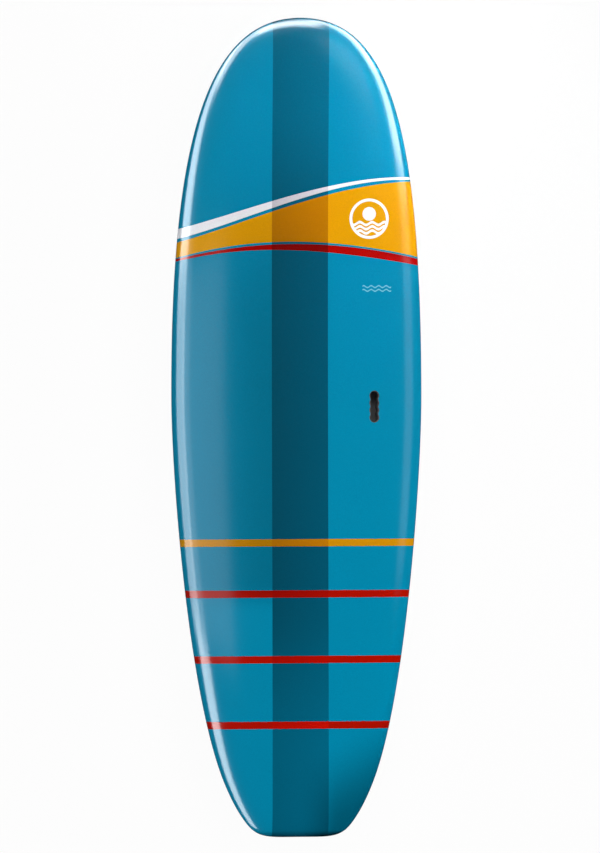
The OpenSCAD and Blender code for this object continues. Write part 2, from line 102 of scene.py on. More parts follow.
# Fin profiles in their own plane: (forward, into the board), from the root to the tip
CENTRE_LEADING = ((62, 1), (52, -75), (0, -150), (-92, -198))
CENTRE_TRAILING = ((-84, 1), (-60, -50), (-60, -130), (-106, -197))
SIDE_LEADING = ((56, -0.4), (42, -45), (8, -90), (-48, -111))
SIDE_TRAILING = ((-56, -0.4), (-38, -30), (-38, -70), (-58, -109))
FIN_ROWS, FIN_COLS = 44, 22
CENTRE_TIP_T, SIDE_TIP_T = 4, 3
FOIL_FULLNESS, FOIL_EDGE = 2.6, 0.09

# What holds the fins: thicknesses, then spans along the board and into it
TAB_T = 9.0
CENTRE_TAB = ((-84, 62), (-0.5, 17.5))
CENTRE_TONGUE = ((61.5, 84), (2.6, 5.4))
PIN_AT, PIN_HOLE_R = (0, -76, 8.5), 2.52
SCREW_Y, SCREW_HOLE_R = 75, 2.2
SIDE_TAB_T, SIDE_TAB_LENGTH, SIDE_TAB_DEPTH = 6.4, 25.2, (-1, 14)
POCKET_Y = 28


def bezier(p, t):
    """A point of a cubic curve."""
    s = 1 - t
    weights = (s ** 3, 3 * s * s * t, 3 * s * t * t, t ** 3)
    return tuple(sum(w * q[k] for w, q in zip(weights, p)) for k in (0, 1))


def bezier_slope(p, t):
    """The direction of a cubic curve."""
    s = 1 - t
    weights = (s * s, 2 * s * t, t * t)
    steps = [(b[0] - a[0], b[1] - a[1]) for a, b in zip(p, p[1:])]
    return tuple(sum(w * d[k] for w, d in zip(weights, steps)) for k in (0, 1))


def stations(counts):
    """Places along the outline: (curve, share along it)."""
    found = []
    for c, count in enumerate(counts):
        first = NOSE_START if c == NOSE_CURVE else 0
        last = TAIL_END if c == CORNER_CURVE else 1
        for i in range(0 if c == 0 else 1, count + 1):
            found.append((c, first + (last - first) * i / count))
    return found


def square_foot(c, t):
    """Where a ray square to the outline meets the centre line."""
    o = bezier(OUTLINE[c], t)
    d = bezier_slope(OUTLINE[c], t)
    return o[1] - o[0] * d[0] / abs(d[1])


NOSE_FAN_Y = square_foot(NOSE_CURVE, NOSE_FAN_SHARE)
TAIL_FAN_Y = square_foot(CORNER_CURVE, 0)


def ray(c, t):
    """The outline point and the foot on the centre line, fanned out at the nose and tail."""
    if c == CORNER_CURVE:
        foot = TAIL_FAN_Y - TAIL_FAN * t
    elif c == NOSE_CURVE and t < NOSE_FAN_SHARE:
        foot = NOSE_FAN_Y + NOSE_FAN * (1 - t / NOSE_FAN_SHARE)
    else:
        foot = square_foot(c, t)
    return bezier(OUTLINE[c], t), foot


def share(y, start, end):
    return max(0.0, (y - start) / (end - start))


def rocker(y):
    nose = NOSE_ROCKER * share(y, ROCKER_START, HALF_LENGTH) ** NOSE_ROCKER_POWER
    tail = TAIL_ROCKER * share(y, ROCKER_START, -HALF_LENGTH) ** TAIL_ROCKER_POWER
    return nose + tail


def thickness(y):
    to_nose = share(y, THICKEST_Y, HALF_LENGTH) ** NOSE_THIN_POWER
    to_tail = share(y, THICKEST_Y, -HALF_LENGTH) ** TAIL_THIN_POWER
    nose = (THICKNESS - NOSE_THICKNESS) * to_nose
    return THICKNESS - nose - (THICKNESS - TAIL_THICKNESS) * to_tail


def side_height(y, side):
    return (DECK_SHARE if side > 0 else 1 - DECK_SHARE) * thickness(y)


def rail_z(y):
    return BASE_Z + rocker(y) + side_height(y, -1)


def row_angles(side):
    """Angles from the rail to the centre line, with the flat last step split up."""
    last = math.radians(90 * (SKIN_STEPS - 1) / SKIN_STEPS)
    wide = math.cos(last) ** (2 / FLATNESS[side])
    angles = [math.radians(90 * i / SKIN_STEPS) for i in range(SKIN_STEPS)]
    for i in range(1, SKIN_SPLITS + 1):
        reach = wide * (SKIN_SPLITS - i) / SKIN_SPLITS
        angles.append(math.acos(reach ** (FLATNESS[side] / 2)))
    return angles


def skin_point(line, side, angle, inset):
    """A point of the deck (side 1) or the bottom (side -1), inset into the board."""
    (ox, oy), foot = line
    span = math.hypot(ox, oy - foot)
    reach = max(0.0, math.cos(angle)) ** (2 / FLATNESS[side]) * (1 - inset / span)
    y = foot + (oy - foot) * reach
    rise = SEAM_GAP + (side_height(y, side) - inset - SEAM_GAP) * math.sin(angle)
    return ox * reach, y, rail_z(y) + side * rise


def skin_row(line, side, inset):
    """A row of points from the port rail to the starboard rail."""
    half = [skin_point(line, side, a, inset) for a in row_angles(side)]
    port = [(-x, y, z) for x, y, z in half[:-1]]
    return port + half[::-1]


WIDTHS = sorted((ray(c, t)[0][1], ray(c, t)[0][0]) for c, t in stations(TABLE_STATIONS))


def half_width_at(y):
    """Half the board's width there, from the same table as the CAD."""
    for (y0, w0), (y1, w1) in zip(WIDTHS, WIDTHS[1:]):
        if y0 <= y <= y1:
            return w0 + (w1 - w0) * (y - y0) / (y1 - y0)
    return WIDTHS[-1][1]


def surface_z(x, y, side):
    reach = abs(x) / half_width_at(y)
    height = side_height(y, side) * math.sqrt(1 - reach ** FLATNESS[side])
    return rail_z(y) + side * height


def on_surface(x, y, side):
    """Matrix of a place on the skin, in millimetres, with local Z along the surface normal."""
    slope_x = (surface_z(x + 1, y, side) - surface_z(x - 1, y, side)) / 2
    slope_y = (surface_z(x, y + 1, side) - surface_z(x, y - 1, side)) / 2
    place = Matrix.Translation((x, y, surface_z(x, y, side)))
    turn_x = Matrix.Rotation(math.atan(slope_y), 4, "X")
    turn_y = Matrix.Rotation(-math.atan(slope_x), 4, "Y")
    return place @ turn_y @ turn_x


def centre_box_frame():
    there = share(CENTRE_BOX_Y, ROCKER_START, -HALF_LENGTH) ** (TAIL_ROCKER_POWER - 1)
    slope = TAIL_ROCKER_POWER * TAIL_ROCKER * there / (-HALF_LENGTH - ROCKER_START)
    tilt = math.atan(slope)
    place = Matrix.Translation((0, CENTRE_BOX_Y, surface_z(0, CENTRE_BOX_Y, -1)))
    sink = Matrix.Translation((0, 0, CENTRE_BOX_SINK))
    return place @ Matrix.Rotation(tilt, 4, "X") @ sink


def side_box_frame(hand):
    toe = Matrix.Rotation(math.radians(hand * TOE_IN), 4, "Z")
    return on_surface(hand * SIDE_FIN_X, SIDE_FIN_Y, -1) @ toe @ Matrix.Diagonal((hand, 1, 1, 1))


# ---- Mesh helpers ----
def make_object(name, verts, faces, matrix=None):
    """A mesh object from millimetre points, with its faces turned outwards."""
    mesh = bpy.data.meshes.new(name)
    mesh.from_pydata(verts, [], faces)
    if matrix is not None:
        mesh.transform(matrix)
    mesh.transform(Matrix.Scale(MM, 4))
    work = bmesh.new()
    work.from_mesh(mesh)
    bmesh.ops.recalc_face_normals(work, faces=work.faces)
    work.to_mesh(mesh)
    work.free()
    piece = bpy.data.objects.new(name, mesh)
    bpy.context.scene.collection.objects.link(piece)
    return piece


def closed_grid(outer, inner):
    """A closed shell between two grids of points, folded over at its first and last row."""
    rows, cols = len(outer), len(outer[0])
    low, last, middle = rows * cols, rows - 1, (cols - 1) // 2

    def at(i, j):
        return i * cols + j

    faces = []
    for i in range(last):
        for j in range(cols - 1):
            quad = (at(i, j), at(i, j + 1), at(i + 1, j + 1), at(i + 1, j))
            faces += [quad, tuple(low + q for q in reversed(quad))]
        for j in (0, cols - 1):
            faces.append((at(i, j), at(i + 1, j), low + at(i + 1, j), low + at(i, j)))
    for i in (0, last):
        for j in range(middle):
            k = cols - 1 - j
            fold = [at(i, k), at(i, j), at(i, j + 1)]
            if j < middle - 1:
                fold.append(at(i, k - 1))
            faces += [tuple(fold), tuple(low + q for q in reversed(fold))]
        faces.append((at(i, 0), at(i, cols - 1), low + at(i, cols - 1), low + at(i, 0)))
    points = [p for grid in (outer, inner) for row in grid for p in row]
    return points, faces


def prism(name, outline, bottom, top, matrix):
    """A closed prism over a flat outline."""
    count = len(outline)
    verts = [(x, y, z) for z in (bottom, top) for x, y in outline]
    faces = [tuple(reversed(range(count))), tuple(range(count, 2 * count))]
    for i in range(count):
        n = (i + 1) % count
        faces.append((i, n, count + n, count + i))
    return make_object(name, verts, faces, matrix)


def arc(cx, cy, r, start, end, steps):
    """Points of a circular arc, with angles in degrees."""
    angles = [math.radians(start + (end - start) * i / steps) for i in range(steps + 1)]
    return [(cx + r * math.cos(a), cy + r * math.sin(a)) for a in angles]


def circle(cx, cy, r, facets):
    return arc(cx, cy, r, 0, 360, facets)[:-1]


def rounded_rectangle(size, r):
    x, y = size[0] / 2 - r, size[1] / 2 - r
    corners = ((x, y, 0), (-x, y, 90), (-x, -y, 180), (x, -y, 270))
    return [p for cx, cy, a in corners for p in arc(cx, cy, r, a, a + 90, CORNER_FACETS)]


def grip_outline(play):
    """The scalloped outline of the hand grip, made bigger by play."""
    r = LOBE_R + play
    neck = GRIP_NECK / 2 + play
    crossing = math.degrees(math.asin(math.sqrt(r * r - neck * neck) / r))
    points = []
    for side in (1, -1):
        for k in range(LOBES):
            y = side * FINGER_PITCH * (k - (LOBES - 1) / 2)
            middle = 0 if side > 0 else 180
            start = middle - (crossing if k > 0 else 90)
            end = middle + (crossing if k < LOBES - 1 else 90)
            points += arc(0, y, r, start, end, LOBE_FACETS)
    distinct = []
    for p in points:
        if not distinct or math.dist(p, distinct[-1]) > SAME_POINT:
            distinct.append(p)
    if math.dist(distinct[0], distinct[-1]) < SAME_POINT:
        distinct.pop()
    return distinct


def combine(piece, other, operation):
    """Joins another solid to a piece, or cuts it away."""
    modifier = piece.modifiers.new("boolean", "BOOLEAN")
    modifier.operation = operation
    modifier.solver = "EXACT"
    modifier.object = other
    graph = bpy.context.evaluated_depsgraph_get()
    result = bpy.data.meshes.new_from_object(piece.evaluated_get(graph))
    piece.modifiers.clear()
    spare, piece.data = piece.data, result
    result.name = piece.name
    bpy.data.meshes.remove(spare)
    bpy.data.objects.remove(other)


def finish_piece(piece, material, body, node, sharp=SKIN_SHARP):
    """Shading and material, then attaches the piece to its body and hides the CAD node it stands
    in for.
    """
    piece.data.materials.clear()
    piece.data.materials.append(material)
    piece.data.shade_smooth()
    piece.data.set_sharp_from_angle(angle=math.radians(sharp))
    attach(piece, body)
    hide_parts(node)
    return piece


# ---- Material helpers ----
def srgb(*levels):
    """Linear colour from sRGB levels of 0 to 255."""
    shares = [v / 255 for v in levels]
    return [v / 12.92 if v <= 0.04045 else ((v + 0.055) / 1.055) ** 2.4 for v in shares] + [1.0]


class Graph:
    """Builds one node material. Its methods return output sockets."""

    def __init__(self, name):
        self.material = bpy.data.materials.new(name)
        self.material.use_nodes = True
        self.tree = self.material.node_tree
        self.shader = self.tree.nodes["Principled BSDF"]
        coordinates = self.tree.nodes.new("ShaderNodeTexCoord")
        self.position = coordinates.outputs["Object"]

    def add(self, kind, **settings):
        node = self.tree.nodes.new(kind)
        for key, value in settings.items():
            setattr(node, key, value)
        return node

    def feed(self, socket, value):
        if isinstance(value, bpy.types.NodeSocket):
            self.tree.links.new(value, socket)
        else:
            socket.default_value = value

    def math(self, operation, *values):
        node = self.add("ShaderNodeMath", operation=operation)
        for socket, value in zip(node.inputs, values):
            self.feed(socket, value)
        return node.outputs[0]

    def axes(self):
        node = self.add("ShaderNodeSeparateXYZ")
        self.feed(node.inputs[0], self.position)
        return node.outputs

    def noise(self, scale, detail=3.0, roughness=0.5, stretch=None):
        vector = self.position
        if stretch:
            mapping = self.add("ShaderNodeMapping")
            self.feed(mapping.inputs["Vector"], vector)
            mapping.inputs["Scale"].default_value = stretch
            vector = mapping.outputs[0]
        node = self.add("ShaderNodeTexNoise")
        self.feed(node.inputs["Vector"], vector)
        node.inputs["Scale"].default_value = scale
        node.inputs["Detail"].default_value = detail
        node.inputs["Roughness"].default_value = roughness
        return node.outputs["Fac"]

    def between(self, value, low, high):
        above = self.math("GREATER_THAN", value, low)
        below = self.math("LESS_THAN", value, high)
        return self.math("MULTIPLY", above, below)

    def spread(self, value, low, high):
        """Spreads a value from 0 to 1 over low to high."""
        node = self.add("ShaderNodeMapRange")
        self.feed(node.inputs["Value"], value)
        node.inputs["To Min"].default_value = low
        node.inputs["To Max"].default_value = high
        return node.outputs["Result"]

    def mix(self, share_of_second, first, second, blend="MIX"):
        node = self.add("ShaderNodeMixRGB", blend_type=blend)
        for socket, value in zip(node.inputs, (share_of_second, first, second)):
            self.feed(socket, value)
        return node.outputs[0]

    def bump(self, height, strength, distance):
        node = self.add("ShaderNodeBump")
        self.feed(node.inputs["Height"], height)
        node.inputs["Strength"].default_value = strength
        node.inputs["Distance"].default_value = distance
        self.feed(self.shader.inputs["Normal"], node.outputs[0])


def cubic(graph, u, coefficients):
    """A cubic in u, with coefficients in millimetres from the constant up, in metres."""
    total = coefficients[-1] * MM
    for c in reversed(coefficients[:-1]):
        product = graph.math("MULTIPLY", total, u)
        total = graph.math("ADD", product, c * MM)
    return total


PATCH_SCALE, ROUGHNESS_SWING, PLAIN_BUMP = 14.0, 0.08, 0.35


def plain_material(name, color, roughness, grain, wear, depth, stretch, metallic):
    """A material of one colour with mottling, uneven roughness and a fine surface."""
    graph = Graph(name)
    patches = graph.noise(PATCH_SCALE, stretch=stretch)
    fine = graph.noise(grain, detail=4.0, stretch=stretch)
    dark = [c * (1 - wear) for c in color[:3]] + [1.0]
    light = [min(1.0, c * (1 + wear)) for c in color[:3]] + [1.0]
    graph.feed(graph.shader.inputs["Base Color"], graph.mix(patches, dark, light))
    uneven = graph.spread(fine, roughness - ROUGHNESS_SWING, roughness + ROUGHNESS_SWING)
    graph.feed(graph.shader.inputs["Roughness"], uneven)
    graph.shader.inputs["Metallic"].default_value = metallic
    graph.bump(fine, PLAIN_BUMP, depth)
    return graph.material


# ---- The painted deck ----
STRIPE_HALF = 0.085
BAND_HALF = 0.0108
SWOOSH = {
    "white": ((681.2, 116.4, -34.1, -27.5), (698.0, 98.6, -32.3, -20.3)),
    "yellow": ((553.4, -6.4, -49.6, 7.4), (670.0, 113.7, -29.8, -21.1)),
    "red": ((527.5, -18.3, -40.9, 12.2), (546.6, -3.9, -47.5, 3.6)),
}
# Each colour is given outside the centre stripe and inside it
BLUE = (srgb(0, 132, 168), srgb(0, 95, 123))
PAINTS = {
    "white": (srgb(238, 240, 246), srgb(222, 220, 230)),
    "yellow": (srgb(216, 152, 2), srgb(196, 125, 0)),
    "red": (srgb(164, 2, 1), srgb(140, 2, 1)),
    "band_yellow": (srgb(202, 138, 8), srgb(211, 134, 8)),
    "band_red": (srgb(169, 14, 1), srgb(186, 13, 1)),
}
BANDS = (
    (-0.343, "band_yellow"),
    (-0.4955, "band_red"),
    (-0.691, "band_red"),
    (-0.8865, "band_red"),
)
RIPPLE_BLUE = srgb(120, 190, 210)
BOTTOM_WHITE = srgb(228, 232, 232)
WRAP_HEIGHT = 0.009

# Emblem and ripples: place and half size in metres, then shares of the half size.
# A wave is (height, rate along it in radians, half thickness)
EMBLEM_AT, EMBLEM_HALF = (0.210, 0.622), (0.060, 0.060)
RING_INNER, SUN_LIFT, SUN_R = 0.86, 0.24, 0.34
EMBLEM_LEVELS, EMBLEM_WAVE = (-0.24, -0.45, -0.66), (0.07, 10.0, 0.065)
RIPPLE_AT, RIPPLE_HALF = (0.234, 0.414), (0.044, 0.011)
RIPPLE_LEVELS, RIPPLE_WAVE = (0.5, -0.5), (0.25, 12.0, 0.16)

# Painted shade in the deck's colour, standing in for uneven light: where each soft edge starts
# and ends in metres, and how dark each patch of painted shade is.
# The stripe also darkens by STRIPE_TO_PORT per metre to port
PORT_NOSE_EDGE, PORT_TAIL_EDGE, PORT_SIDE_EDGE = (0.25, 1.0), (-0.56, -0.46), (-0.42, -0.09)
PORT_DARK, PORT_DARK_ALL_ALONG = 0.34, 0.06
STRIPE_NOSE_EDGE, STRIPE_TAIL_EDGE = (0.50, 0.98), (-1.0, -0.45)
STRIPE_DARK, STRIPE_TO_PORT = 0.38, 1.2
CORNER_SLANT, CORNER_EDGE, CORNER_SIDE_EDGE = 0.6, (0.98, 1.26), (-0.02, 0.12)
CORNER_DARK = 0.6
# Painted shadow: a dark band along the tail's end
RIM_EDGE, RIM_DARK = (-1.222, -1.198), 0.65
DARKEST = 0.9

# Paint coat: how fine each noise is, then what it varies
COAT_PATCH_SCALE, COAT_PATCHES = 5.0, (0.97, 1.03)
COAT_GRAIN_SCALE, COAT_GRAIN = 300.0, (0.88, 1.12)
COAT_FINE_SCALE, COAT_ROUGHNESS = 650.0, (0.12, 0.20)
COAT_BUMP_STRENGTH, COAT_BUMP_DEPTH = 0.03, 0.0002


def local_axis(graph, value, centre, half):
    moved = graph.math("SUBTRACT", value, centre)
    return graph.math("DIVIDE", moved, half)


def wave_line(graph, u, v, level, wave):
    """A mask of one wavy line in a local square."""
    height, rate, half_thick = wave
    phase = graph.math("MULTIPLY", u, rate)
    crest = graph.math("MULTIPLY", graph.math("SINE", phase), height)
    away = graph.math("SUBTRACT", graph.math("SUBTRACT", v, level), crest)
    return graph.math("LESS_THAN", graph.math("ABSOLUTE", away), half_thick)


def emblem_mask(graph, x, y):
    """A plain sun over waves inside a ring."""
    u = local_axis(graph, x, EMBLEM_AT[0], EMBLEM_HALF[0])
    v = local_axis(graph, y, EMBLEM_AT[1], EMBLEM_HALF[1])
    uu = graph.math("MULTIPLY", u, u)
    radius = graph.math("SQRT", graph.math("ADD", uu, graph.math("MULTIPLY", v, v)))
    ring = graph.between(radius, RING_INNER, 1.0)
    above = graph.math("SUBTRACT", v, SUN_LIFT)
    from_sun = graph.math("SQRT", graph.math("ADD", uu, graph.math("MULTIPLY", above, above)))
    total = graph.math("MAXIMUM", ring, graph.math("LESS_THAN", from_sun, SUN_R))
    inside = graph.math("LESS_THAN", radius, RING_INNER)
    for level in EMBLEM_LEVELS:
        line = wave_line(graph, u, v, level, EMBLEM_WAVE)
        total = graph.math("MAXIMUM", total, graph.math("MULTIPLY", line, inside))
    return total


def ripple_mask(graph, x, y):
    """Two short wavy lines."""
    u = local_axis(graph, x, RIPPLE_AT[0], RIPPLE_HALF[0])
    v = local_axis(graph, y, RIPPLE_AT[1], RIPPLE_HALF[1])
    near = graph.between(u, -1.0, 1.0)
    lines = [wave_line(graph, u, v, level, RIPPLE_WAVE) for level in RIPPLE_LEVELS]
    return graph.math("MULTIPLY", near, graph.math("MAXIMUM", *lines))


def deck_colour(graph):
    """The blue deck with its stripe, swoosh, bands, emblem and ripples."""
    x, y, _ = graph.axes()
    u = graph.math("DIVIDE", x, HALF_WIDTH * MM)
    stripe = graph.math("LESS_THAN", graph.math("ABSOLUTE", x), STRIPE_HALF)

    def paint(name):
        outside, inside = PAINTS[name]
        return graph.mix(stripe, outside, inside)

    colour = graph.mix(stripe, *BLUE)
    for name, (lower, upper) in SWOOSH.items():
        mask = graph.between(y, cubic(graph, u, lower), cubic(graph, u, upper))
        colour = graph.mix(mask, colour, paint(name))
    for middle, name in BANDS:
        mask = graph.between(y, middle - BAND_HALF, middle + BAND_HALF)
        colour = graph.mix(mask, colour, paint(name))
    colour = graph.mix(emblem_mask(graph, x, y), colour, PAINTS["white"][0])
    return graph.mix(ripple_mask(graph, x, y), colour, RIPPLE_BLUE)


def smooth_step(graph, value, start, end):
    """0 before start and 1 after end, with soft shoulders."""
    node = graph.add("ShaderNodeMapRange", interpolation_type="SMOOTHSTEP")
    graph.feed(node.inputs["Value"], value)
    node.inputs["From Min"].default_value = start
    node.inputs["From Max"].default_value = end
    return node.outputs["Result"]


def painted_shade(graph):
    """Share of light the painted shade leaves: port side, stripe, tail corner, and a painted
    shadow along the tail rim.
    """
    x, y, _ = graph.axes()

    def times(a, b):
        return graph.math("MULTIPLY", a, b)

    def rest_of(value):
        return graph.math("SUBTRACT", 1.0, value)

    def soft(value, edge):
        return smooth_step(graph, value, *edge)

    # Painted shade: the port side of the deck darker, most of all mid-board
    port_along = times(rest_of(soft(y, PORT_NOSE_EDGE)), soft(y, PORT_TAIL_EDGE))
    starboard = graph.math("GREATER_THAN", x, 0.0)
    port_across = graph.math("SUBTRACT", soft(x, PORT_SIDE_EDGE), starboard)
    port_depth = graph.math("ADD", times(port_along, PORT_DARK), PORT_DARK_ALL_ALONG)
    port = times(port_depth, port_across)
    # Painted shade in the stripe: darker mid-board and darker towards port
    stripe_along = times(rest_of(soft(y, STRIPE_NOSE_EDGE)), soft(y, STRIPE_TAIL_EDGE))
    stripe_shade = times(stripe_along, STRIPE_DARK)
    stripe = graph.math("SUBTRACT", stripe_shade, times(x, STRIPE_TO_PORT))
    in_stripe = graph.math("LESS_THAN", graph.math("ABSOLUTE", x), STRIPE_HALF)
    # Painted shade in the starboard tail corner
    diagonal = graph.math("SUBTRACT", times(x, CORNER_SLANT), y)
    corner = times(soft(diagonal, CORNER_EDGE), soft(x, CORNER_SIDE_EDGE))
    # Painted shadow along the tail's end
    rim = rest_of(soft(y, RIM_EDGE))
    dark = graph.math("ADD", times(stripe, in_stripe), times(port, rest_of(in_stripe)))
    dark = graph.math("ADD", dark, times(corner, CORNER_DARK))
    dark = graph.math("ADD", dark, times(rim, RIM_DARK))
    return rest_of(graph.math("MINIMUM", dark, DARKEST))


def coat(graph, colour, painted_shade_share=None):
    """Slightly mottled gloss paint over a finely textured skin."""
    patches = graph.noise(COAT_PATCH_SCALE, detail=4.0)
    grain = graph.noise(COAT_GRAIN_SCALE, detail=2.0)
    shade = graph.math("MULTIPLY", graph.spread(patches, *COAT_PATCHES),
                       graph.spread(grain, *COAT_GRAIN))
    # Painted shade, where given, darkens the colour
    if painted_shade_share is not None:
        shade = graph.math("MULTIPLY", shade, painted_shade_share)
    tint = graph.add("ShaderNodeCombineColor")
    for socket in tint.inputs:
        graph.feed(socket, shade)
    graph.feed(graph.shader.inputs["Base Color"],
               graph.mix(1.0, colour, tint.outputs[0], "MULTIPLY"))
    fine = graph.noise(COAT_FINE_SCALE, roughness=0.6)
    graph.feed(graph.shader.inputs["Roughness"], graph.spread(fine, *COAT_ROUGHNESS))
    graph.bump(fine, COAT_BUMP_STRENGTH, COAT_BUMP_DEPTH)
    return graph.material


def deck_material():
    graph = Graph("deck_paint")
    # The deck's colour is darkened by painted shade
    return coat(graph, deck_colour(graph), painted_shade(graph))


def bottom_material():
    """Off-white bottom, with the deck's blue wrapped round the rails."""
    graph = Graph("bottom_paint")
    _, y, z = graph.axes()

    def rise(start, end, height, power):
        there = graph.math("DIVIDE", graph.math("SUBTRACT", y, start * MM), (end - start) * MM)
        above = graph.math("MAXIMUM", there, 0.0)
        return graph.math("MULTIPLY", graph.math("POWER", above, power), height * MM)

    nose = rise(ROCKER_START, HALF_LENGTH, NOSE_ROCKER, NOSE_ROCKER_POWER)
    tail = rise(ROCKER_START, -HALF_LENGTH, TAIL_ROCKER, TAIL_ROCKER_POWER)
    height = graph.math("SUBTRACT", z, graph.math("ADD", nose, tail))
    wrapped = graph.math("GREATER_THAN", height, BASE_Z * MM + WRAP_HEIGHT)
    return coat(graph, graph.mix(wrapped, BOTTOM_WHITE, BLUE[0]))


# Colour, roughness, fineness of the grain, wear, depth of the grain, stretch and metal
PLAIN = {
    "eps_foam": ((0.86, 0.86, 0.83), 0.85, 420.0, 0.05, 0.0006, None, 0.0),
    "dense_foam": ((0.62, 0.46, 0.24), 0.8, 600.0, 0.08, 0.0003, None, 0.0),
    "stringer_ply": ((0.50, 0.31, 0.15), 0.6, 60.0, 0.22, 0.0002, (1.0, 0.06, 1.0), 0.0),
    "grip_black": ((0.006, 0.006, 0.007), 0.6, 900.0, 0.2, 0.0002, None, 0.0),
    "fitting_black": ((0.012, 0.012, 0.013), 0.5, 700.0, 0.2, 0.0002, None, 0.0),
    "fin_black": ((0.014, 0.014, 0.016), 0.34, 500.0, 0.25, 0.0001, None, 0.0),
    "stainless": ((0.62, 0.62, 0.64), 0.3, 900.0, 0.1, 0.00005, (1.0, 1.0, 12.0), 1.0),
}


def plain_materials():
    return {name: plain_material(name + "_look", *values) for name, values in PLAIN.items()}


def dress_cad_nodes(made):
    """Gives each CAD node the plain look of its material slot, where there is one."""
    for part in frame["record"]["subparts"]:
        material = made.get(part["material_slot"])
        if material is None:
            continue
        mesh = NODES[part["node"]].data
        mesh.materials.clear()
        mesh.materials.append(material)


# ---- Skins ----
def skin_piece(name, side):
    lines = [ray(c, t) for c, t in stations(SKIN_STATIONS)]
    outer = [skin_row(line, side, 0) for line in lines]
    inner = [skin_row(line, side, SKIN_T) for line in lines]
    return make_object(name, *closed_grid(outer, inner))


def keep_inside(piece, node):
    """Trims what the finer facets add beyond the CAD node's box."""
    low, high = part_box(node)
    for vertex in piece.data.vertices:
        vertex.co = [min(max(c, a), b) for c, a, b in zip(vertex.co, low, high)]


def build_deck():
    deck = skin_piece("deck_shell", 1)
    keep_inside(deck, "deck_skin")
    place = on_surface(GRIP_X, GRIP_Y, 1)
    hole = prism("cut", grip_outline(FIT_GAP), *GRIP_CUT, place)
    combine(deck, hole, "DIFFERENCE")
    return finish_piece(deck, deck_material(), "board", "deck_skin")


def build_bottom():
    bottom = skin_piece("bottom_shell", -1)
    keep_inside(bottom, "bottom_skin")
    gap = 2 * FIT_GAP
    centre = rounded_rectangle((CENTRE_FLANGE[0] + gap, CENTRE_FLANGE[1] + gap), FLANGE_CORNER)
    side = rounded_rectangle((SIDE_FLANGE[0] + gap, SIDE_FLANGE[1] + gap), FLANGE_CORNER)
    rim = circle(0, 0, LEASH_RIM_R + FIT_GAP, RIM_FACETS)
    holes = [(centre, centre_box_frame()), (rim, on_surface(0, LEASH_Y, -1))]
    holes += [(side, side_box_frame(hand)) for hand in (-1, 1)]
    for outline, place in holes:
        combine(bottom, prism("cut", outline, *FITTING_CUT, place), "DIFFERENCE")
    return finish_piece(bottom, bottom_material(), "board", "bottom_skin")


# ---- Fins ----
def foil(v):
    """Thickness of the blade as a share of its fullest, from the leading to the trailing edge."""
    return min(1.0, FOIL_FULLNESS * math.sqrt(v) * (1 - v) + FOIL_EDGE)


def fin_blade(name, leading, trailing, root_t, tip_t, lean, matrix):
    """A foiled blade. Each ring of points goes round one section."""
    ring = 2 * FIN_COLS
    verts = []
    for i in range(FIN_ROWS + 1):
        t = i / FIN_ROWS
        a, b = bezier(leading, t), bezier(trailing, t)
        half = (root_t + (tip_t - root_t) * t) / 2
        for k in range(ring):
            v = (1 - math.cos(2 * math.pi * k / ring)) / 2
            y, z = (a[n] + (b[n] - a[n]) * v for n in (0, 1))
            hand = 1 if k <= FIN_COLS else -1
            bulge = 0 if k == 0 else foil(v)
            verts.append((hand * half * bulge - z * math.tan(math.radians(lean)), y, z))
    tip = FIN_ROWS * ring
    faces = [tuple(range(ring)), tuple(reversed(range(tip, tip + ring)))]
    for i in range(FIN_ROWS):
        for k in range(ring):
            n = (k + 1) % ring
            faces.append((i * ring + k, (i + 1) * ring + k, (i + 1) * ring + n, i * ring + n))
    return make_object(name, verts, faces, matrix)


def slab(x, y, z, matrix):
    """A box between pairs of limits."""
    outline = [(x[0], y[0]), (x[1], y[0]), (x[1], y[1]), (x[0], y[1])]
    return prism("slab", outline, *z, matrix)


def build_centre_fin(material):
    place = centre_box_frame()
    fin = fin_blade("centre_fin_foil", CENTRE_LEADING, CENTRE_TRAILING, TAB_T, CENTRE_TIP_T, 0,
                    place)
    half = TAB_T / 2
    tab = slab((-half, half), *CENTRE_TAB, place)
    tongue = slab((-half, half), *CENTRE_TONGUE, place)
    combine(fin, tab, "UNION")
    combine(fin, tongue, "UNION")
    across = place @ Matrix.Translation(PIN_AT) @ Matrix.Rotation(math.pi / 2, 4, "Y")
    pin = prism("cut", circle(0, 0, PIN_HOLE_R, HOLE_FACETS), -TAB_T, TAB_T, across)
    depth = CENTRE_TAB[1][1]
    screw = prism("cut", circle(0, SCREW_Y, SCREW_HOLE_R, HOLE_FACETS), 0, depth, place)
    combine(fin, pin, "DIFFERENCE")
    combine(fin, screw, "DIFFERENCE")
    return finish_piece(fin, material, "centre_fin", "centre_fin", FIN_SHARP)


def build_side_fin(hand, material):
    place = side_box_frame(hand)
    word = "right" if hand > 0 else "left"
    fin = fin_blade("side_fin_foil_" + word, SIDE_LEADING, SIDE_TRAILING, SIDE_TAB_T,
                    SIDE_TIP_T, CANT, place)
    half_x, half_y = SIDE_TAB_T / 2, SIDE_TAB_LENGTH / 2
    for end in (-1, 1):
        middle = end * POCKET_Y
        tab = slab((-half_x, half_x), (middle - half_y, middle + half_y), SIDE_TAB_DEPTH, place)
        combine(fin, tab, "UNION")
    return finish_piece(fin, material, "board", "side_fin_" + word, FIN_SHARP)


# ---- Studio ----
LEAN = math.radians(10.5)
CAMERA_DISTANCE = 45.0
FRAME_HEIGHT = 2.541
SENSOR = 36.0
TARGET = Vector((0.0003, 0.0033, 0.262))
ROLL = 0.0035
CLIP = (0.1, 400.0)


